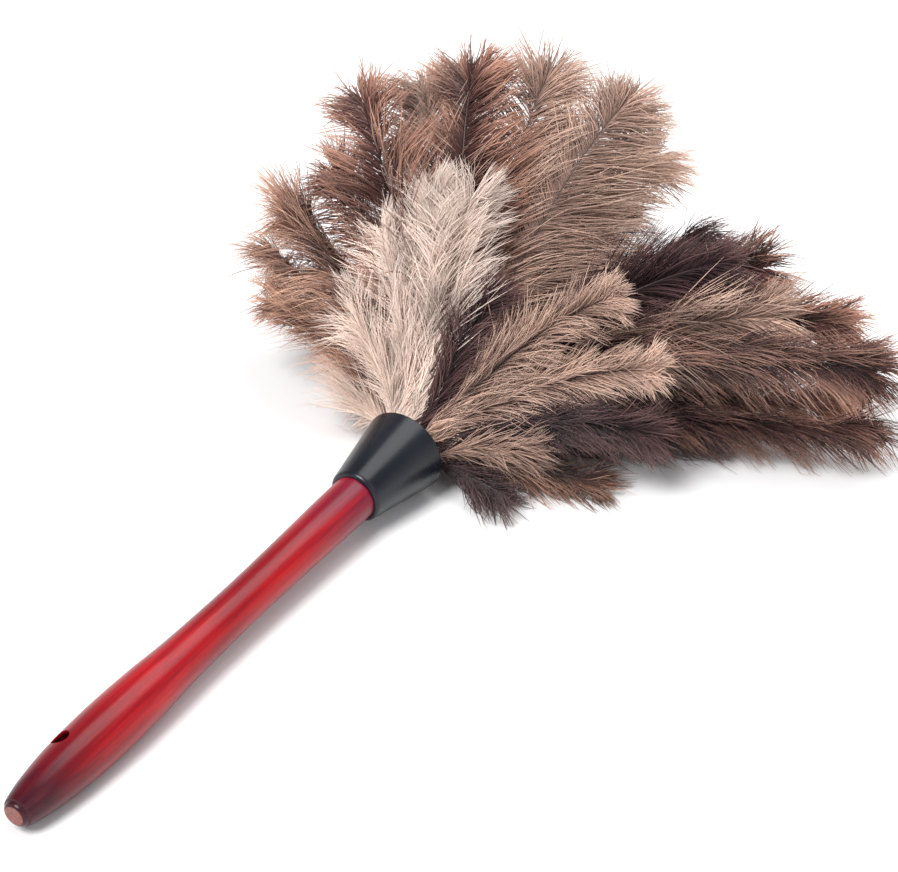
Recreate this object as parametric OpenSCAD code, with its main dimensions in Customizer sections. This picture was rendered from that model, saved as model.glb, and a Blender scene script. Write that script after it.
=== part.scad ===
// Feather duster lying on a flat surface: a turned wooden handle, a tapered plastic
// ferrule, and three layers of ostrich plumes whose quills are wired round the end of
// the handle inside the ferrule.
//
// +X runs along the handle from its butt to the plumes, +Z is up, and the origin is the
// centre of the hanging hole. All sizes are in millimetres.

/* [Handle] */
// Length from the butt to the mouth of the ferrule
handle_l = 264; // [250:1:290]
// Radius of the butt's flat end
butt_r = 5.6; // [5:0.1:6.5]
// Largest radius of the grip
grip_r = 11.5; // [10.5:0.1:12.5]
// Distance of the grip's largest radius from the butt
grip_at = 56; // [50:1:62]
// Radius of the waist
waist_r = 9; // [8:0.1:9.5]
// Distance of the waist from the butt
waist_at = 142; // [130:1:155]
// Radius where the handle enters the ferrule
neck_r = 10; // [9.6:0.1:10.4]
// Radius of the spigot that the quills are wired round
spigot_r = 4.7; // [4:0.1:5]
// Length of the full-width neck inside the ferrule
neck_in_l = 6; // [5:0.5:8]

/* [Hanging hole] */
// Radius of the hole
hole_r = 4; // [3:0.1:4.5]
// Distance of the hole from the butt
hole_at = 35.5; // [34:0.5:46]
// Angle of the hole's axis above the horizontal
hole_roll = 60; // [0:1:90]

/* [Ferrule] */
// Length of the ferrule
ferrule_l = 39; // [37:1:42]
// Outer radius of its narrow end
narrow_r = 12.2; // [11.8:0.1:12.8]
// Outer radius of its mouth
mouth_r = 18.8; // [18.2:0.1:20]
// Wall thickness
ferrule_wall = 1.4; // [1:0.1:1.8]
// Radius of the rounded edge of the narrow end
narrow_edge_r = 2; // [1:0.1:2.1]
// Radius of the mouth's edges
mouth_edge_r = 0.5; // [0.2:0.1:0.6]

/* [Bindings] */
// Radius of the binding wire
wire_r = 0.5; // [0.4:0.05:0.6]
// Turns of wire in each binding
wire_turns = 3; // [2:1:3]

/* [Plumes] */
// Radius of a quill
quill_r = 0.95; // [0.8:0.05:1]
// Width of the vane of an inner or middle plume
long_vane_w = 25; // [18:1:27]
// Width of the vane of a short outer plume
short_vane_w = 15; // [12:1:18]
// Thickness of a plume's vane
vane_t = 5; // [4:0.5:6]
// How far the upper plumes bend down at their tips
droop = 0.5; // [0:0.05:0.6]

/* [Hidden] */
$fn = 72;

// Radial gap between pieces that lie against each other
gap = 0.05;
// Turns of wire lie a little closer than their width, so that a binding is one piece
turn_pitch = 1.9 * wire_r;

// The handle tilts until its grip and the ferrule's mouth both touch the surface
rest_tilt = asin((mouth_r - grip_r) / (handle_l - grip_at));

// Handle outline: distance from the butt and radius
HANDLE = [
    [0, butt_r], [6, butt_r + 1.8], [16, grip_r - 2.3], [32, grip_r - 0.7],
    [grip_at, grip_r], [82, grip_r - 0.6], [104, waist_r + 0.7],
    [waist_at, waist_r], [180, waist_r + 0.4], [208, neck_r - 0.1],
    [handle_l - ferrule_l + neck_in_l, neck_r]
];
butt_edge_r = 2;
outline_steps = 8;
spigot_short = 3;

// Layers of quills (inner, middle, outer), each resting on the binding of the one inside it
layer_step = 2 * (quill_r + gap + wire_r);
layer_r = [for (k = [0:2]) spigot_r + gap + quill_r + k * layer_step];
// Distance back from the mouth at which each layer's quills start
quill_in = [30, 22, 12];
// Distance from the start of a layer's quills to its binding
binding_at = 3;

// Tones of the plumes
TONES = [
    ["cream", [0.83, 0.74, 0.66]],
    ["beige", [0.66, 0.55, 0.47]],
    ["brown", [0.45, 0.33, 0.28]],
    ["plum", [0.22, 0.15, 0.15]],
    ["tan", [0.74, 0.52, 0.37]]
];

// Plumes of each layer, in order round the handle from the top towards +Y:
// the tip's place from the centre of the mouth, and the tone
INNER = [
    [[154, 16, 117], "beige"], [[129, 71, 107], "beige"], [[182, 34, 68], "beige"],
    [[146, 90, 66], "brown"], [[90, 120, 36], "brown"], [[186, 40, 28], "beige"],
    [[172, 60, -3], "brown"], [[184, 20, -3], "beige"], [[190, -4, 30], "brown"],
    [[182, -32, -3], "plum"], [[172, -76, -3], "brown"], [[184, -50, 29], "plum"],
    [[150, -150, -2], "brown"], [[158, -146, 26], "brown"], [[158, -98, 42], "brown"],
    [[160, -36, 84], "beige"]
];
MIDDLE = [
    [[123, 40, 126], "brown"], [[98, 88, 110], "brown"], [[86, 96, 73], "brown"],
    [[64, 109, 58], "tan"], [[63, 117, 30], "tan"], [[106, 82, -9], "beige"],
    [[126, 50, -9], "tan"], [[134, 17, -9], "brown"], [[132, -20, -9], "beige"],
    [[120, -60, -9], "plum"], [[102, -98, -6], "plum"], [[124, -178, 5], "brown"],
    [[132, -172, 24], "brown"], [[128, -122, 39], "beige"], [[132, -92, 57], "plum"],
    [[150, -31, 118], "beige"]
];
OUTER = [
    [[77, 12, 90], "cream"], [[73, 31, 90], "cream"], [[60, 50, 68], "cream"],
    [[34, 51, 38], "cream"], [[42, 102, 21], "tan"], [[24, 47, 4], "cream"],
    [[58, 42, -15], "beige"], [[72, 27, -15], "beige"], [[84, 10, -15], "beige"],
    [[90, -9, -15], "brown"], [[84, -29, -15], "plum"], [[44, -76, -14], "tan"],
    [[8, -44, -10], "plum"], [[28, -46, 2], "beige"], [[54, -94, 10], "plum"],
    [[68, -90, 34], "beige"], [[74, -66, 62], "beige"], [[56, -14, 58], "plum"]
];
LAYERS = [["inner", INNER], ["middle", MIDDLE], ["outer", OUTER]];

// Sweep of a plume: its sides, and where its rings lie from the mouth (0) to the tip (1)
vane_sides = 8;
RINGS = [0, 0.16, 0.3, 0.42, 0.53, 0.63, 0.73, 0.83, 0.92, 1];
// Where the vane is widest, and how blunt it is
vane_peak = 3;
vane_blunt = 0.8;
tip_r = 0.6;
// Share of the plume's reach over which it leaves the mouth and arrives at its tip
leave = 0.36;
arrive = 0.34;

function plume_name(layer, i) = str(layer, "_plume_", i < 9 ? "0" : "", i + 1);
function tone(name) = TONES[search([name], TONES)[0]][1];
function unit(v) = v / norm(v);

// Turns a direction from the handle's own axes into the row's, by the rest tilt
function tilted(v) = [
    v[0] * cos(rest_tilt) - v[2] * sin(rest_tilt), v[1],
    v[0] * sin(rest_tilt) + v[2] * cos(rest_tilt)
];
mouth = tilted([handle_l - hole_at, 0, 0]);

// Catmull-Rom curve through a list of points
function knot(points, i) = points[max(0, min(len(points) - 1, i))];
function smooth_at(points, i, t) =
    let (a = knot(points, i - 1), b = knot(points, i), c = knot(points, i + 1), d = knot(points, i + 2))
    0.5 * (2 * b + (c - a) * t + (2 * a - 5 * b + 4 * c - d) * pow(t, 2)
        + (3 * b - a - 3 * c + d) * pow(t, 3));
function smooth(points, steps) = concat(
    [for (i = [0:len(points) - 2]) for (k = [0:steps - 1]) smooth_at(points, i, k / steps)],
    [points[len(points) - 1]]
);

// Arc of radius r about a centre, from one angle to another
function arc(centre, r, from, to, steps = 6) =
    [for (k = [0:steps]) let (a = from + (to - from) * k / steps) centre + r * [cos(a), sin(a)]];

// Cubic curve from the mouth to a plume's tip
function bezier(p, t) =
    pow(1 - t, 3) * p[0] + 3 * pow(1 - t, 2) * t * p[1] + 3 * (1 - t) * t * t * p[2] + pow(t, 3) * p[3];
function bezier_way(p, t) =
    unit(pow(1 - t, 2) * (p[1] - p[0]) + 2 * (1 - t) * t * (p[2] - p[1]) + t * t * (p[3] - p[2]));
function plume_curve(start, tip) =
    let (
        reach = norm(tip - start),
        fall = tip[2] > mouth[2] ? droop : 0,
        end_way = unit(unit(tip - start) - [0, 0, fall])
    )
    [start, start + tilted([leave * reach, 0, 0]), tip - arrive * reach * end_way, tip];

// Half-width of a vane of full width w, at t from mouth to tip
function vane_half(w, t) =
    t >= 1 ? tip_r : quill_r + (w / 2 - quill_r) * pow(sin(180 * pow(t, vane_peak)), vane_blunt);

// One ring of a plume: an ellipse across its way, thin towards the side it faces
function ring(centre, way, facing, half_w, half_t) =
    let (side = unit(cross(way, facing)), out = unit(cross(side, way)))
    [for (k = [0:vane_sides - 1])
        centre + half_w * cos(360 * k / vane_sides) * side + half_t * sin(360 * k / vane_sides) * out];

// A layer's plume i: the ring where its quill starts, then the rings from mouth to tip
function plume_rings(layer, i, count, tip_at) =
    let (
        round = 360 * i / count + (layer == 1 ? 180 / count : 0),
        outward = [0, sin(round), cos(round)],
        start = mouth + tilted(layer_r[layer] * outward),
        tip = mouth + tip_at,
        curve = plume_curve(start, tip),
        facing = tip_at[2] < 0 ? [0, 0, -1] : tilted(outward),
        vane_w = layer == 2 ? short_vane_w : long_vane_w
    )
    concat(
        [ring(start - tilted([quill_in[layer], 0, 0]), tilted([1, 0, 0]), facing, quill_r, quill_r)],
        [for (t = RINGS)
            ring(bezier(curve, t), bezier_way(curve, t), facing, vane_half(vane_w, t), vane_half(vane_t, t))]
    );

// Closed solid through rings of equal length
module sweep(rings) {
    n = len(rings[0]);
    last = len(rings) - 1;
    sides = [for (j = [0:last - 1]) for (k = [0:n - 1])
        let (a = j * n + k, b = j * n + (k + 1) % n)
        each [[a, b, b + n], [a, b + n, a + n]]];
    polyhedron(
        points = [for (r = rings) each r],
        faces = concat(
            [[for (k = [0:n - 1]) n - 1 - k]],
            sides,
            [[for (k = [0:n - 1]) last * n + k]]
        )
    );
}

// Lays a solid that was turned about Z, butt end at zero, along the handle's axis
module along_handle() {
    rotate([0, -rest_tilt, 0])
        translate([-hole_at, 0, 0])
            rotate([0, 90, 0])
                children();
}

module handle_blank() {
    outline = smooth(HANDLE, outline_steps);
    shoulder = HANDLE[len(HANDLE) - 1];
    rotate_extrude()
        polygon(concat(
            [[0, 0]],
            arc([butt_r - butt_edge_r, butt_edge_r], butt_edge_r, -90, 0),
            [for (p = outline) if (p[0] > butt_edge_r) [p[1], p[0]]],
            [[spigot_r, shoulder[0]], [spigot_r, handle_l - spigot_short], [0, handle_l - spigot_short]]
        ));
}

module handle() {
    color([0.62, 0.06, 0.08])
        difference() {
            along_handle() handle_blank();
            rotate([0, -rest_tilt, 0])
                rotate([hole_roll - 90, 0, 0])
                    cylinder(r = hole_r, h = 4 * grip_r, center = true);
        }
}

module ferrule() {
    bore_r = neck_r + gap;
    narrow_z = handle_l - ferrule_l;
    cone_z = narrow_z + neck_in_l;
    flare = atan((mouth_r - narrow_r) / ferrule_l);
    inner_edge_r = mouth_r - ferrule_wall + mouth_edge_r;
    color([0.13, 0.14, 0.15])
        along_handle()
            rotate_extrude()
                polygon(concat(
                    [[bore_r, cone_z], [bore_r, narrow_z]],
                    arc([narrow_r - narrow_edge_r, narrow_z + narrow_edge_r], narrow_edge_r, -90, -flare),
                    arc([mouth_r - mouth_edge_r, handle_l - mouth_edge_r], mouth_edge_r, -flare, 90),
                    arc([inner_edge_r, handle_l - mouth_edge_r], mouth_edge_r, 90, 180 - flare)
                ));
}

module binding(layer) {
    turn_r = layer_r[layer] + quill_r + gap + wire_r;
    first_z = handle_l - quill_in[layer] + binding_at;
    color([0.72, 0.72, 0.7])
        along_handle()
            for (k = [0:wire_turns - 1])
                translate([0, 0, first_z + k * turn_pitch])
                    rotate_extrude()
                        translate([turn_r, 0])
                            circle(r = wire_r, $fn = 24);
}

module plume(layer, i) {
    plumes = LAYERS[layer][1];
    color(tone(plumes[i][1]))
        sweep(plume_rings(layer, i, len(plumes), plumes[i][0]));
}

handle();
ferrule();
for (layer = [0:len(LAYERS) - 1]) {
    binding(layer);
    for (i = [0:len(LAYERS[layer][1]) - 1])
        plume(layer, i);
}
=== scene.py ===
"""Looks of a feather duster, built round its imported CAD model.

Each CAD plume is replaced by an ostrich feather of the same curve: a tapered shaft with
locks of soft barbs on both sides. The handle, the ferrule and the wire bindings keep
their CAD shapes and get procedural materials. Lengths are in metres.
"""

import functools
import math

import bpy
import numpy as np
from mathutils import Matrix, Vector


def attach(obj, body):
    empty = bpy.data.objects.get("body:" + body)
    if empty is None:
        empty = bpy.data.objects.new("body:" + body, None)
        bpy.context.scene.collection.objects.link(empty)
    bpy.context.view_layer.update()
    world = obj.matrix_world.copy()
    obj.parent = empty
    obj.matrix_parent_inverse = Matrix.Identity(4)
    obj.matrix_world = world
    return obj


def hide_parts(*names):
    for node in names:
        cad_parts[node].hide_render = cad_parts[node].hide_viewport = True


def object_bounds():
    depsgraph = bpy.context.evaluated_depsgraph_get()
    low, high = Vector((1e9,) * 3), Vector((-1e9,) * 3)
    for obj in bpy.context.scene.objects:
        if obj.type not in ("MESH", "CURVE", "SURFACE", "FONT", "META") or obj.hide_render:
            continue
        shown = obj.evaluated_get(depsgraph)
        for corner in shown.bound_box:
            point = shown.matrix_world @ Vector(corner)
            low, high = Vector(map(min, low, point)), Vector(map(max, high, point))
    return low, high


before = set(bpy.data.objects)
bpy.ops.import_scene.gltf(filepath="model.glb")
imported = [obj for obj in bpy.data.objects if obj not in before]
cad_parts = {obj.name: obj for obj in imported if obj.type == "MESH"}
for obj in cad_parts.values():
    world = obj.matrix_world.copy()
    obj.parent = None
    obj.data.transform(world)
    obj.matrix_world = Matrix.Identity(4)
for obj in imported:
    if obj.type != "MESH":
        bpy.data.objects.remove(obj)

cad_low, cad_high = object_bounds()
MM = 0.001
UP = np.array([0, 0, 1.0])

# ---------------------------------------------------------------- sizes, as in part.scad
MOUTH_AT = 228.5 * MM  # from the hanging hole to the ferrule's mouth, along the handle
BUTT_AT = -35.5 * MM
FERRULE_L = 39 * MM
NARROW_R = 12.2 * MM
MOUTH_R = 18.8 * MM
GRIP_R = 11.5 * MM
GRIP_TO_MOUTH = 208 * MM
HOLE_R = 4 * MM
REST_TILT = math.asin((MOUTH_R - GRIP_R) / GRIP_TO_MOUTH)
QUILL_R = 0.95 * MM
LAYER_R = {"inner": 5.7 * MM, "middle": 8.7 * MM, "outer": 11.7 * MM}
QUILL_IN = {"inner": 30 * MM, "middle": 22 * MM, "outer": 12 * MM}
DROOP = 0.5
LEAVE = 0.36
ARRIVE = 0.34

# Plumes of each layer, in order round the handle from the top towards +Y: the tip's
# place from the centre of the mouth, in millimetres, and the tone. Same as part.scad.
PLUMES = {
    "inner": [
        ((154, 16, 117), "beige"), ((129, 71, 107), "beige"), ((182, 34, 68), "beige"),
        ((146, 90, 66), "brown"), ((90, 120, 36), "brown"), ((186, 40, 28), "beige"),
        ((172, 60, -3), "brown"), ((184, 20, -3), "beige"), ((190, -4, 30), "brown"),
        ((182, -32, -3), "plum"), ((172, -76, -3), "brown"), ((184, -50, 29), "plum"),
        ((150, -150, -2), "brown"), ((158, -146, 26), "brown"), ((158, -98, 42), "brown"),
        ((160, -36, 84), "beige"),
    ],
    "middle": [
        ((123, 40, 126), "brown"), ((98, 88, 110), "brown"), ((86, 96, 73), "brown"),
        ((64, 109, 58), "tan"), ((63, 117, 30), "tan"), ((106, 82, -9), "beige"),
        ((126, 50, -9), "tan"), ((134, 17, -9), "brown"), ((132, -20, -9), "beige"),
        ((120, -60, -9), "plum"), ((102, -98, -6), "plum"), ((124, -178, 5), "brown"),
        ((132, -172, 24), "brown"), ((128, -122, 39), "beige"), ((132, -92, 57), "plum"),
        ((150, -31, 118), "beige"),
    ],
    "outer": [
        ((77, 12, 90), "cream"), ((73, 31, 90), "cream"), ((60, 50, 68), "cream"),
        ((34, 51, 38), "cream"), ((42, 102, 21), "tan"), ((24, 47, 4), "cream"),
        ((58, 42, -15), "beige"), ((72, 27, -15), "beige"), ((84, 10, -15), "beige"),
        ((90, -9, -15), "brown"), ((84, -29, -15), "plum"), ((44, -76, -14), "tan"),
        ((8, -44, -10), "plum"), ((28, -46, 2), "beige"), ((54, -94, 10), "plum"),
        ((68, -90, 34), "beige"), ((74, -66, 62), "beige"), ((56, -14, 58), "plum"),
    ],
}
# Plumes, counted from 0, that are lighter (above 0) or darker than the rest of their tone
SHADE = {
    ("inner", 3): 0.2, ("inner", 10): -0.3, ("inner", 11): -0.3, ("inner", 12): 0.35,
    ("inner", 14): -0.4,
    ("middle", 0): 0.3, ("middle", 1): 0.22, ("middle", 2): 0.15, ("middle", 11): -0.65,
    ("middle", 12): -0.3, ("middle", 13): -0.35, ("middle", 14): -0.25, ("middle", 15): -0.2,
    ("outer", 0): -0.42, ("outer", 1): -0.3, ("outer", 2): -0.05, ("outer", 11): -0.35,
    ("outer", 13): -0.15, ("outer", 15): 0.1, ("outer", 17): 0.3,
}

# ---------------------------------------------------------------- colours (linear)
# Root, middle and tip of a barb in each tone
TONES = {
    "cream": ((0.86, 0.69, 0.59), (0.99, 0.81, 0.71), (0.97, 0.79, 0.69)),
    "beige": ((0.27, 0.17, 0.135), (0.43, 0.275, 0.215), (0.66, 0.46, 0.365)),
    "brown": ((0.032, 0.014, 0.013), (0.105, 0.045, 0.038), (0.48, 0.262, 0.19)),
    "plum": ((0.020, 0.010, 0.011), (0.052, 0.025, 0.027), (0.15, 0.080, 0.074)),
    "tan": ((0.06, 0.025, 0.019), (0.225, 0.105, 0.073), (0.74, 0.45, 0.32)),
}
BARB_STOPS = (0.0, 0.45, 1.0)
# A shaft's quill, a quarter of the way up and its tip
HORN = ((0.42, 0.30, 0.22), (0.10, 0.06, 0.05), (0.05, 0.028, 0.026))
PALE_HORN = ((0.60, 0.46, 0.35), (0.62, 0.46, 0.36), (0.50, 0.34, 0.26))
SHAFT_STOPS = (0.0, 0.25, 1.0)
# Ramps: (place, colour)
STAIN = [(0.30, (0.11, 0.001, 0.006)), (0.48, (0.28, 0.001, 0.006)), (0.68, (0.50, 0.003, 0.006))]
# What the stain is multiplied by from butt to ferrule: dark at the butt, dull at the neck
STAIN_TINT = [
    (0.0, (0.12, 1.2, 1.2)), (0.06, (0.24, 1.0, 1.2)), (0.18, (0.75, 1, 1)), (0.36, (1.05, 1, 1)),
    (0.55, (0.8, 1, 1)), (0.75, (0.9, 1, 1)), (1.0, (0.60, 5.0, 4.0)),
]
END_GRAIN = [(0.3, (0.15, 0.045, 0.038)), (0.7, (0.28, 0.10, 0.08))]
BLACK_PLASTIC = [(0.3, (0.003, 0.004, 0.009)), (0.7, (0.008, 0.010, 0.016))]
STEEL = [(0.35, (0.35, 0.33, 0.30)), (0.65, (0.66, 0.65, 0.62))]
SKY = [(0.0, (1, 1, 1)), (0.12, (1, 1, 1)), (0.5, (0.32, 0.32, 0.34)), (1.0, (0.22, 0.22, 0.24))]
FLOOR_GREY = (0.86, 0.86, 0.86, 1)

TINT_SPAN = (-36 * MM, 194 * MM)  # of the stain's tint, from the butt to the ferrule
BARE_BEFORE = BUTT_AT + 0.1 * MM  # the butt's face is bare wood up to here
HOLE_SKIN_R = 10.2 * MM  # a little under the handle's radius at the hole; the painted shade lies within it
PAINTED_HOLE_SHADE = 0.12  # painted shade: the level the stain is darkened to within the hole, where shadow falls

# ---------------------------------------------------------------- feathers
FLOOR = cad_low.z
FLOOR_GAP = 0.5 * MM  # least height of a barb's middle above the floor
FLOOR_SOFT = 1.5 * MM  # height over which barbs start to lie flat on it
PROUD = 14 * MM  # no barb stands further than this above the CAD model's box
SKIN_GAP = 0.8 * MM  # between the barbs and the ferrule
SKIN_END = 0.5 * MM  # barbs keep this gap up to here, past the mouth

SHAFT_RINGS = 48
SHAFT_SIDES = 6
SHAFT_END = 0.89  # share of the plume's curve that its shaft fills
SHAFT_TAPER = 0.8  # share of a shaft's thickness lost at its tip
FIRST_BARB = 0.02  # share of the plume's curve before its first barb

BARB_RINGS = 7
BARB_SIDES = 3
BARB_FLATNESS = 0.55  # of a barb's thickness to its width
ROOT_WIDTH = 0.6  # of a barb, as a share of its full width
ROOT_WIDENS = 3  # a barb reaches its full width at one third of its length
BARB_TAPER = 0.85  # share of a barb's width lost at its tip
WAVE = 1.6 * MM  # how far a barb wavers
HALF_WAVES = 1.5  # along a barb
LOCKS = 70  # locks that the barbs of one plume cling together in
CLING = (0.05, 0.6)  # how far a barb's end goes to its lock
LENGTHS = (0.42, 1.1)  # of single barbs, as shares of their full length
WIDTHS = (0.45, 1.35)  # as shares of the full width

# The round tip of a plume, where the barbs fan out
TIP_FAN = 0.84  # share of the shaft after which they do so
TIP_SHARE = 0.2  # share of the barbs that stand on the shaft's last stretch
TIP_FROM = 0.93  # where that stretch starts
FAN_ANGLE = 70  # widest angle to the shaft, in degrees
FAN_LIFT = 1  # widest angle off the vane's plane, in radians

# Barbs of each layer: the step between them along the shaft (both sides taken together),
# their length and width, all three in millimetres, their angle to the shaft in degrees,
# how far they stand off the vane's plane in radians, and how much they fall
BARBS = {
    "inner": {"step": 0.085, "length": 52, "width": 0.62, "angle": 44, "lift": (-0.5, 0.55), "fall": 0.8},
    "middle": {"step": 0.08, "length": 48, "width": 0.62, "angle": 44, "lift": (-0.5, 1.0), "fall": 0.8},
    "outer": {"step": 0.065, "length": 31, "width": 0.6, "angle": 34, "lift": (-0.6, 1.3), "fall": 0.4},
}
# The cream plumes are fluffier than the others
CREAM = {"step": 0.048, "length": 36, "width": 0.55, "angle": 42, "lift": (-0.7, 1.0), "fall": 0.35}
# The two upper plumes whose vanes lie flat, with their shafts in sight
FLAT_VANES = {("middle", 0), ("middle", 15)}
FLAT = {"step": 0.055, "length": 50, "width": 0.6, "angle": 52, "lift": (-0.7, -0.2), "fall": 0.3}

# Inner and middle plumes with their tips beyond this, in millimetres, towards -Y have
# their barbs swept back
SWEPT_FROM = -25
SWEPT = 0.66  # share of the barbs' angle that is left then
PALE_END = 0.5  # how much lighter such a plume is at its tip than at its root

# How the barbs change along a plume: the knots of a random curve, and its spread
WANDER = {
    "swing": (14, 5),  # angle to the shaft, in degrees
    "lift": (9, 0.1),
    "length": (12, 0.1),
    "curl": (8, 0.2),
    "fall": (8, 0.35),
    "tone": (12, 0.12),
}
# How they differ from one barb to the next
SCATTER = {"swing": 4, "curl": 0.1, "fall": 0.12, "way": 0.13, "tone": 0.12}
CURL = 0.45  # how far barbs bend from their roots to their tips
CURL_ALONG = 0.4  # the part of that bend along the shaft, and the part away from it
CURL_AWAY = 0.7
LOCK_TONE = 0.18  # how the locks of a plume differ in tone
SWEPT_LOCK_TONE = 0.3


def tilted(v):
    """A direction in the handle's own axes, turned into the row's by the rest tilt."""
    c, s = math.cos(REST_TILT), math.sin(REST_TILT)
    return np.array([v[0] * c - v[2] * s, v[1], v[0] * s + v[2] * c])


MOUTH = tilted([MOUTH_AT, 0, 0])
AXIS = tilted([1, 0, 0])


def unit(v):
    """Vectors scaled to length 1."""
    return v / np.maximum(np.linalg.norm(v, axis=-1, keepdims=True), 1e-9)


class Spine:
    """A plume's centre curve from the mouth (0) to its tip (1), as in part.scad."""

    def __init__(self, layer, i, tip_mm):
        count = len(PLUMES[layer])
        turn = 2 * math.pi * (i + (0.5 if layer == "middle" else 0)) / count
        outward = np.array([0, math.sin(turn), math.cos(turn)])
        start = MOUTH + tilted(LAYER_R[layer] * outward)
        tip = MOUTH + np.array(tip_mm) * MM
        reach = np.linalg.norm(tip - start)
        fall = DROOP if tip_mm[2] * MM > MOUTH[2] else 0
        end_way = unit(unit(tip - start) - fall * UP)
        self.points = [start, start + LEAVE * reach * AXIS, tip - ARRIVE * reach * end_way, tip]
        self.quill_start = start - QUILL_IN[layer] * AXIS
        self.facing = -UP if tip_mm[2] < 0 else tilted(outward)
        self.length = reach
        self.swept = layer != "outer" and tip_mm[1] < SWEPT_FROM and (layer, i) not in FLAT_VANES

    def at(self, t):
        """Place and way at each t."""
        t = np.asarray(t, float)[..., None]
        a, b, c, d = self.points
        place = (1 - t) ** 3 * a + 3 * (1 - t) ** 2 * t * b + 3 * (1 - t) * t**2 * c + t**3 * d
        way = (1 - t) ** 2 * (b - a) + 2 * (1 - t) * t * (c - b) + t**2 * (d - c)
        return place, unit(way)

    def frame_at(self, t):
        """Place, way, side and outward direction at each t."""
        place, way = self.at(t)
        side = unit(np.cross(way, self.facing))
        out = unit(np.cross(side, way))
        return place, way, side, out


def tube_grid(places, across, up, half_w, half_t, sides):
    """Rings of points round many curves at once: (curves, rings, sides, 3)."""
    turn = 2 * np.pi * np.arange(sides) / sides
    c, s = np.cos(turn)[:, None], np.sin(turn)[:, None]
    return (
        places[..., None, :]
        + half_w[..., None, None] * c * across[..., None, :]
        + half_t[..., None, None] * s * up[..., None, :]
    )


def tube_faces(curves, rings, sides):
    """Vertex indices of the quads round each tube, and of a cap at each end."""
    base = np.arange(curves)[:, None, None] * rings * sides
    r = np.arange(rings - 1)[None, :, None] * sides
    k = np.arange(sides)[None, None, :]
    k2 = (k + 1) % sides
    quads = np.stack([base + r + k, base + r + k2, base + r + sides + k2, base + r + sides + k], -1)
    first = base[:, 0] + np.arange(sides)[None, ::-1]
    last = base[:, 0] + (rings - 1) * sides + np.arange(sides)[None, :]
    return quads.reshape(-1, 4), np.concatenate([first, last])


def clear_of_floor(p):
    """Points at or under the floor come to lie just above it, softly."""
    above = p[..., 2] - FLOOR - FLOOR_GAP
    p[..., 2] = FLOOR + FLOOR_GAP + FLOOR_SOFT * np.logaddexp(0, above / FLOOR_SOFT)
    return p


def under_ceiling(p):
    """Points above the CAD model's box are drawn back towards its top."""
    over = np.maximum(p[..., 2] - cad_high.z, 0)
    p[..., 2] += PROUD * (1 - np.exp(-over / PROUD)) - over
    return p


def clear_of_ferrule(p):
    """Points inside the ferrule's outline move out to its surface."""
    from_mouth = p - MOUTH
    along = from_mouth @ AXIS
    radial = from_mouth - along[..., None] * AXIS
    r = np.linalg.norm(radial, axis=-1)
    skin = MOUTH_R + (MOUTH_R - NARROW_R) * along / FERRULE_L + SKIN_GAP
    push = np.where((along < SKIN_END) & (r < skin), skin / np.maximum(r, 1e-6), 1.0)
    return p + radial * (push - 1)[..., None]


def look_of(layer, i, tone):
    """What the barbs of a plume are like."""
    if (layer, i) in FLAT_VANES:
        return FLAT
    if tone == "cream":
        return CREAM
    return BARBS[layer]


def barb_length(f, full):
    """Length of the barbs at share f of the vane, short at its root and blunt at its tip."""
    return full * (0.62 + 0.38 * np.sin(np.pi * np.clip(f, 0, 1) ** 0.8))


def barb_angle(f, full):
    """Angle of the barbs at share f of the vane, narrow at its root."""
    return full * (0.6 + 0.4 * np.sin(0.7 * np.pi * f))


def wander(rng, f, quality):
    """Random values of a quality of the barbs, which change smoothly along the vane."""
    knots, spread = WANDER[quality]
    return np.interp(f, np.linspace(0, 1, knots), rng.normal(0, spread, knots))


def barbs(spine, rng, look):
    """Every barb of a plume: its places (n, rings, 3), its share of the shaft and its lock."""
    n = int(SHAFT_END * spine.length / (look["step"] * MM))
    f = (np.arange(n) + rng.uniform(-1, 1, n)) / n
    at_tip = rng.uniform(0, 1, n) < TIP_SHARE
    f = np.clip(np.where(at_tip, rng.uniform(TIP_FROM, 1.0, n), f), 0, 1)
    hand = np.where(rng.uniform(0, 1, n) < 0.5, -1.0, 1.0)
    fan = np.clip((f - TIP_FAN) / (1 - TIP_FAN), 0, 1) ** 1.5

    swing = np.where(hand > 0, wander(rng, f, "swing"), wander(rng, f, "swing"))
    full_angle = look["angle"] * (SWEPT if spine.swept else 1)
    angle = barb_angle(f, full_angle) + swing + rng.normal(0, SCATTER["swing"], n)
    angle = np.radians(angle + fan * (FAN_ANGLE * rng.uniform(0, 1, n) ** 1.4 - angle))
    lift = rng.uniform(*look["lift"], n) + wander(rng, f, "lift")
    lift = lift + fan * (rng.uniform(-FAN_LIFT, FAN_LIFT, n) - lift)
    length = barb_length(f, look["length"] * MM) * (1 + wander(rng, f, "length"))
    length = length * rng.uniform(*LENGTHS, n)
    curl = CURL + wander(rng, f, "curl") + rng.normal(0, SCATTER["curl"], n)
    fall = look["fall"] * (1 + wander(rng, f, "fall")) + rng.normal(0, SCATTER["fall"], n)

    place, way, side, out = spine.frame_at(FIRST_BARB + (SHAFT_END - FIRST_BARB) * f)
    a, up = angle[:, None], lift[:, None]
    across = hand[:, None] * side
    off = np.cos(up) * across + np.sin(up) * out
    start_way = unit(np.cos(a) * way + np.sin(a) * off)
    end_way = unit(
        start_way + curl[:, None] * (CURL_ALONG * way + CURL_AWAY * off)
        + rng.normal(0, SCATTER["way"], (n, 3)) - fall[:, None] * UP
    )
    u = np.linspace(0, 1, BARB_RINGS)[None, :, None]
    bend = 0.5 * u**2
    course = start_way[:, None] * (u - bend) + end_way[:, None] * bend
    path = place[:, None] + length[:, None, None] * course
    wave = rng.normal(0, WAVE, (n, 1, 3)) * np.sin(np.pi * HALF_WAVES * u) * u
    path, lock = gathered(path + wave, rng)
    return path, f, lock


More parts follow.
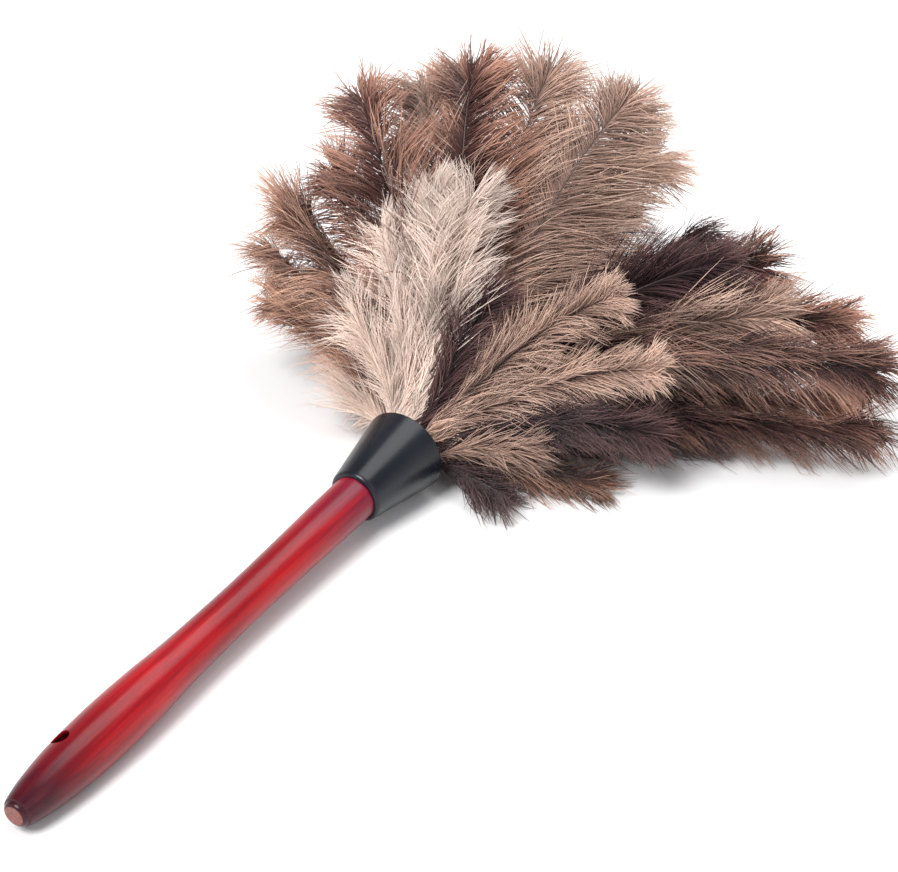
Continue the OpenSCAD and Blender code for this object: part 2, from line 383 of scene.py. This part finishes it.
def gathered(path, rng):
    """Barbs bent towards the nearest of a few guide barbs, and which guide each one took."""
    guides = path[rng.choice(len(path), LOCKS, replace=False)]
    apart = np.linalg.norm(path[:, None, -1] - guides[None, :, -1], axis=2)
    lock = np.argmin(apart, axis=1)
    u = np.linspace(0, 1, BARB_RINGS)[None, :, None]
    share = rng.uniform(*CLING, (len(path), 1, 1)) * u**1.5
    return path + share * (guides[lock] - path), lock


def barb_profile(u):
    """Width of a barb from its root (0) to its tip (1), as a share of its full width."""
    widening = ROOT_WIDTH + (1 - ROOT_WIDTH) * np.minimum(1, ROOT_WIDENS * u)
    return widening * (1 - BARB_TAPER * u**3)


def barb_grid(path, out_dir, width, rng):
    """Rings of points round each barb, flattened, and thin at its root and its tip."""
    path = clear_of_ferrule(clear_of_floor(under_ceiling(path)))
    way = unit(np.gradient(path, axis=1))
    across = unit(np.cross(way, out_dir[:, None]))
    up = unit(np.cross(across, way))
    profile = barb_profile(np.linspace(0, 1, BARB_RINGS)[None, :])
    half = 0.5 * width * rng.uniform(*WIDTHS, (len(path), 1)) * profile
    return tube_grid(path, across, up, half, BARB_FLATNESS * half, BARB_SIDES)


def shaft_grid(spine):
    """Rings of points round the shaft, from its quill's start within the ferrule."""
    place, _, side, out = spine.frame_at(np.linspace(0, SHAFT_END, SHAFT_RINGS - 1))
    place = np.vstack([spine.quill_start, place])
    side = np.vstack([side[:1], side])
    out = np.vstack([out[:1], out])
    thick = QUILL_R * (1 - SHAFT_TAPER * np.linspace(0, 1, SHAFT_RINGS) ** 0.8)
    return tube_grid(place[None], side[None], out[None], thick[None], thick[None], SHAFT_SIDES)


def strand_tones(spine, f, lock, rng):
    """How light each barb is: about 0.5, alike within a lock."""
    spread = SWEPT_LOCK_TONE if spine.swept else LOCK_TONE
    tones = 0.5 + wander(rng, f, "tone") + rng.normal(0, spread, LOCKS)[lock]
    tones = tones + rng.normal(0, SCATTER["tone"], len(f))
    return np.clip(tones, 0, 1)


def make_mesh(name, points, groups):
    """A smooth mesh, and its loops, from points and groups of faces: (indices, material)."""
    loops = np.concatenate([faces.ravel() for faces, _ in groups]).astype(np.int32)
    totals = np.concatenate([np.full(len(faces), faces.shape[1]) for faces, _ in groups])
    starts = np.concatenate([[0], np.cumsum(totals)[:-1]]).astype(np.int32)
    materials = np.concatenate([np.full(len(faces), material) for faces, material in groups])
    mesh = bpy.data.meshes.new(name)
    mesh.vertices.add(len(points))
    mesh.vertices.foreach_set("co", points.astype(np.float32).ravel())
    mesh.loops.add(len(loops))
    mesh.loops.foreach_set("vertex_index", loops)
    mesh.polygons.add(len(totals))
    mesh.polygons.foreach_set("loop_start", starts)
    mesh.polygons.foreach_set("use_smooth", np.ones(len(totals), bool))
    mesh.polygons.foreach_set("material_index", materials.astype(np.int32))
    return mesh, loops


def add_layers(mesh, loops, tones):
    """Each point's place from root to tip, how light its barb is, and a UV strip for each barb."""
    count = len(tones)
    points_each = BARB_RINGS * BARB_SIDES
    shaft_points = SHAFT_RINGS * SHAFT_SIDES
    along = np.concatenate([
        np.tile(np.repeat(np.linspace(0, 1, BARB_RINGS), BARB_SIDES), count),
        np.repeat(np.linspace(0, 1, SHAFT_RINGS), SHAFT_SIDES),
    ])
    strand = np.concatenate([np.repeat(tones, points_each), np.full(shaft_points, 0.5)])
    for label, values in (("along", along), ("strand", strand)):
        mesh.attributes.new(label, "FLOAT", "POINT").data.foreach_set("value", values.astype(np.float32))
    number = np.concatenate([np.repeat(np.arange(count), points_each), np.full(shaft_points, count)])
    uv = np.stack([(number + 0.5) / (count + 1), 0.02 + 0.96 * along], 1)[loops]
    mesh.uv_layers.new(name="OFBake").data.foreach_set("uv", uv.astype(np.float32).ravel())


def feather(name, layer, i, tip_mm, tone, seed):
    """One plume, with its barbs and its shaft in one mesh."""
    rng = np.random.default_rng(seed)
    spine = Spine(layer, i, tip_mm)
    look = look_of(layer, i, tone)
    path, f, lock = barbs(spine, rng, look)
    _, _, _, out = spine.frame_at(f * SHAFT_END)
    hairs = barb_grid(path, out, look["width"] * MM, rng).reshape(-1, 3)
    tones = strand_tones(spine, f, lock, rng) + SHADE.get((layer, i), 0)
    tones = tones + PALE_END * spine.swept * (f - 0.5)
    shaft = shaft_grid(spine).reshape(-1, 3)

    barb_quads, barb_caps = tube_faces(len(f), BARB_RINGS, BARB_SIDES)
    shaft_quads, shaft_caps = tube_faces(1, SHAFT_RINGS, SHAFT_SIDES)
    groups = [
        (barb_quads, 0), (barb_caps, 0),
        (shaft_quads + len(hairs), 1), (shaft_caps + len(hairs), 1),
    ]
    mesh, loops = make_mesh(name, np.vstack([hairs, shaft]), groups)
    add_layers(mesh, loops, tones)
    mesh.update()
    mesh.validate()

    piece = bpy.data.objects.new(name, mesh)
    bpy.context.scene.collection.objects.link(piece)
    mesh.materials.append(barb_material(tone))
    mesh.materials.append(shaft_material(tone == "cream"))
    return piece


# ---------------------------------------------------------------- materials
class Nodes:
    """Short calls that add nodes to a tree."""

    def __init__(self, tree):
        self.nodes = tree.nodes
        self.links = tree.links

    def put(self, socket, value):
        """Links a socket to another one, or sets its value."""
        if isinstance(value, bpy.types.NodeSocket):
            self.links.new(value, socket)
        else:
            socket.default_value = value

    def add(self, kind, inputs, **settings):
        """A new node, with its settings and inputs."""
        node = self.nodes.new("ShaderNode" + kind)
        for name, value in settings.items():
            setattr(node, name, value)
        for key, value in inputs.items():
            self.put(node.inputs[key], value)
        return node

    def math(self, operation, *values):
        return self.add("Math", dict(enumerate(values)), operation=operation).outputs[0]

    def ramp(self, where, stops):
        node = self.add("ValToRGB", {"Fac": where})
        elements = node.color_ramp.elements
        while len(elements) < len(stops):
            elements.new(0.5)
        for element, (at, colour) in zip(elements, stops):
            element.position = at
            element.color = (*colour, 1)
        return node.outputs["Color"]

    def attribute(self, name):
        return self.add("Attribute", {}, attribute_name=name).outputs["Fac"]

    def noise(self, vector, scale, detail, stretch=None):
        if stretch:
            vector = self.add("Mapping", {"Vector": vector, "Scale": stretch}).outputs["Vector"]
        return self.add("TexNoise", {"Vector": vector, "Scale": scale, "Detail": detail}).outputs["Fac"]

    def map_range(self, value, to, span=(0, 1)):
        """A value's place in span, carried over to the range to."""
        sockets = {"From Min": span[0], "From Max": span[1], "To Min": to[0], "To Max": to[1]}
        return self.add("MapRange", {"Value": value, **sockets}).outputs["Result"]

    def scaled(self, colour, level):
        return self.add("VectorMath", {0: colour, "Scale": level}, operation="SCALE").outputs["Vector"]

    def tinted(self, colour, tint):
        return self.add("VectorMath", {0: colour, 1: tint}, operation="MULTIPLY").outputs["Vector"]

    def bump(self, height, strength, distance):
        inputs = {"Height": height, "Strength": strength, "Distance": distance}
        return self.add("Bump", inputs).outputs["Normal"]

    def shade(self, values):
        """Sets and links the shader's sockets."""
        for name, value in values.items():
            self.put(self.nodes["Principled BSDF"].inputs[name], value)


def new_material(name):
    m = bpy.data.materials.new(name)
    m.use_nodes = True
    return m, Nodes(m.node_tree)


@functools.cache
def barb_material(tone):
    """Barbs: darker at the root, paler at the tip, each strand a little lighter or darker."""
    m, n = new_material("plume_" + tone)
    strand = n.attribute("strand")
    # a light strand takes its colours from nearer the tip's end of the ramp
    where = n.math("ADD", n.attribute("along"), n.math("MULTIPLY_ADD", strand, 0.5, -0.25))
    # and it is brighter, as are all strands within a patch of the cloudy noise
    cloud = n.noise(n.add("TexCoord", {}).outputs["Object"], scale=45, detail=3)
    level = n.math("ADD", n.math("MULTIPLY_ADD", strand, 0.45, 0.42), n.math("MULTIPLY", cloud, 0.7))
    n.shade({
        "Base Color": n.scaled(n.ramp(where, list(zip(BARB_STOPS, TONES[tone]))), level),
        "Roughness": 0.75,
        "Specular IOR Level": 0.1,
        "Sheen Weight": 0.2,
        "Sheen Roughness": 0.4,
    })
    return m


@functools.cache
def shaft_material(pale):
    """Shafts: horn, pale in a cream plume, and else dark brown from a little above the quill."""
    m, n = new_material("shaft_pale" if pale else "shaft_horn")
    stops = list(zip(SHAFT_STOPS, PALE_HORN if pale else HORN))
    n.shade({"Base Color": n.ramp(n.attribute("along"), stops), "Roughness": 0.35})
    return m


def handle_coords(n):
    """Object coordinates turned so that X runs along the handle's axis."""
    coords = n.add("TexCoord", {}).outputs["Object"]
    return n.add("Mapping", {"Vector": coords, "Rotation": (0, REST_TILT, 0)}).outputs["Vector"]


def painted_shade_in_hole(n, split):
    """Painted shade: a dark level within the hanging hole, under the handle's skin, where shadow falls,
    and 1 elsewhere.
    """
    y2 = n.math("POWER", split.outputs["Y"], 2)
    z2 = n.math("POWER", split.outputs["Z"], 2)
    depth = n.math("SQRT", n.math("ADD", y2, z2))
    deep = n.math("LESS_THAN", depth, HOLE_SKIN_R)
    near = n.math("LESS_THAN", n.math("ABSOLUTE", split.outputs["X"]), 1.1 * HOLE_R)
    return n.math("MULTIPLY_ADD", n.math("MULTIPLY", deep, near), PAINTED_HOLE_SHADE - 1, 1)


def handle_material():
    """Red-stained wood with fine lengthwise grain under gloss lacquer, painted shade within the hanging
    hole, and a bare butt.
    """
    m, n = new_material("handle_wood")
    vector = handle_coords(n)
    split = n.add("SeparateXYZ", {"Vector": vector})
    grain = n.noise(vector, scale=700, detail=5, stretch=(0.035, 1, 1))
    bands = n.noise(vector, scale=110, detail=3, stretch=(0.10, 1, 1))
    figure = n.math("ADD", n.math("MULTIPLY", grain, 0.45), n.math("MULTIPLY", bands, 0.55))
    along = n.map_range(split.outputs["X"], to=(0, 1), span=TINT_SPAN)
    stained = n.tinted(n.ramp(figure, STAIN), n.ramp(along, STAIN_TINT))
    colour = n.add("Mix", {
        "Factor": n.math("LESS_THAN", split.outputs["X"], BARE_BEFORE),
        # painted shade darkens the stain within the hanging hole
        "A": n.scaled(stained, painted_shade_in_hole(n, split)),
        "B": n.ramp(grain, END_GRAIN),
    }, data_type="RGBA")
    n.shade({
        "Base Color": colour.outputs["Result"],
        "Roughness": n.map_range(bands, to=(0.25, 0.38)),
        "Normal": n.bump(grain, strength=0.12, distance=0.2 * MM),
        "Specular IOR Level": 0.28,
        "Coat Weight": 0.1,
        "Coat Roughness": 0.15,
    })
    return m


def ferrule_material():
    """Satin black plastic with a faint moulded texture."""
    m, n = new_material("ferrule_plastic")
    vector = handle_coords(n)
    cloud = n.noise(vector, scale=60, detail=3, stretch=(0.5, 1, 1))
    texture = n.noise(vector, scale=900, detail=4)
    n.shade({
        "Base Color": n.ramp(cloud, BLACK_PLASTIC),
        "Roughness": n.map_range(cloud, to=(0.22, 0.32)),
        "Normal": n.bump(texture, strength=0.08, distance=0.1 * MM),
        "Specular IOR Level": 0.42,
    })
    return m


def wire_material():
    """Drawn steel wire with slight tarnish."""
    m, n = new_material("binding_wire")
    tarnish = n.noise(handle_coords(n), scale=300, detail=3)
    n.shade({"Base Color": n.ramp(tarnish, STEEL), "Metallic": 1, "Roughness": 0.34})
    return m


def give_material(node, material):
    """Replaces the material of a CAD node."""
    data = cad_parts[node].data
    data.materials.clear()
    data.materials.append(material)


# ---------------------------------------------------------------- stage
CAMERA_AZIMUTH = -57.5
CAMERA_ELEVATION = 34.7
CAMERA_DISTANCE = 1.3
CAMERA_LENS = 122
CAMERA_ASIDE = 18.8 * MM  # of the mouth's centre, to the right and up
CAMERA_ABOVE = 6 * MM
FLOOR_SIZE = 12
FLOOR_CENTRE_X = 0.2


def direction(azimuth, elevation):
    """Towards a place seen at these angles in degrees; azimuth 0 is -Y, and 90 is +X."""
    a, e = math.radians(azimuth), math.radians(elevation)
    return Vector((math.sin(a) * math.cos(e), -math.cos(a) * math.cos(e), math.sin(e)))


def make_camera():
    data = bpy.data.cameras.new("camera")
    camera = bpy.data.objects.new("camera", data)
    bpy.context.scene.collection.objects.link(camera)
    back = direction(CAMERA_AZIMUTH, CAMERA_ELEVATION)
    right = Vector((0, 0, 1)).cross(back).normalized()
    up = back.cross(right)
    turn = Matrix((right, up, back)).transposed().to_4x4()
    place = Vector(MOUTH) + CAMERA_ASIDE * right + CAMERA_ABOVE * up + CAMERA_DISTANCE * back
    camera.matrix_world = Matrix.Translation(place) @ turn
    data.lens = CAMERA_LENS
    data.clip_start = 0.05
    data.clip_end = 50
    bpy.context.scene.camera = camera


def add_light(data, azimuth, elevation, distance):
    """Places a lamp so that it shines on the middle of the duster."""
    lamp = bpy.data.objects.new(data.name, data)
    bpy.context.scene.collection.objects.link(lamp)
    way = direction(azimuth, elevation)
    lamp.location = (cad_low + cad_high) / 2 + distance * way
    lamp.rotation_mode = "QUATERNION"
    lamp.rotation_quaternion = (-way).to_track_quat("-Z", "Y")


def area_light(name, azimuth, elevation, distance, size, watts):
    data = bpy.data.lights.new(name, "AREA")
    data.energy = watts
    data.size = size
    add_light(data, azimuth, elevation, distance)


def sun_light(name, azimuth, elevation, spread, strength):
    """A light as wide as spread degrees, which lights the floor evenly to the horizon."""
    data = bpy.data.lights.new(name, "SUN")
    data.energy = strength
    data.angle = math.radians(spread)
    add_light(data, azimuth, elevation, distance=2)


def make_world():
    """A studio: bright all round at the horizon, darker overhead."""
    world = bpy.data.worlds.new("studio")
    world.use_nodes = True
    n = Nodes(world.node_tree)
    way = n.add("TexCoord", {}).outputs["Generated"]
    height = n.add("SeparateXYZ", {"Vector": way}).outputs["Z"]
    n.put(n.nodes["Background"].inputs["Color"], n.ramp(height, SKY))
    bpy.context.scene.world = world


def make_floor():
    bpy.ops.mesh.primitive_plane_add(size=FLOOR_SIZE, location=(FLOOR_CENTRE_X, 0, FLOOR))
    floor = bpy.context.object
    floor.name = "floor"
    m, n = new_material("floor")
    n.shade({"Base Color": FLOOR_GREY, "Roughness": 0.7})
    floor.data.materials.append(m)


def make_lights():
    sun_light("key", azimuth=-100, elevation=56, spread=28, strength=3.2)
    area_light("back", azimuth=82, elevation=58, distance=1.6, size=1.2, watts=16)
    area_light("fill", azimuth=-10, elevation=40, distance=2.0, size=1.4, watts=6)


# ---------------------------------------------------------------- making
make_camera()
make_floor()
make_world()
make_lights()
bpy.context.scene.view_settings.view_transform = "Standard"
give_material("handle", handle_material())
give_material("ferrule", ferrule_material())
wire = wire_material()
for layer in PLUMES:
    give_material(layer + "_binding", wire)

seed = 100
for layer, rows in PLUMES.items():
    for i, (tip_mm, tone) in enumerate(rows):
        seed += 1
        node = f"{layer}_plume_{i + 1:02d}"
        piece = feather(f"{layer}_feather_{i + 1:02d}", layer, i, tip_mm, tone, seed)
        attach(piece, "root")
        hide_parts(node)
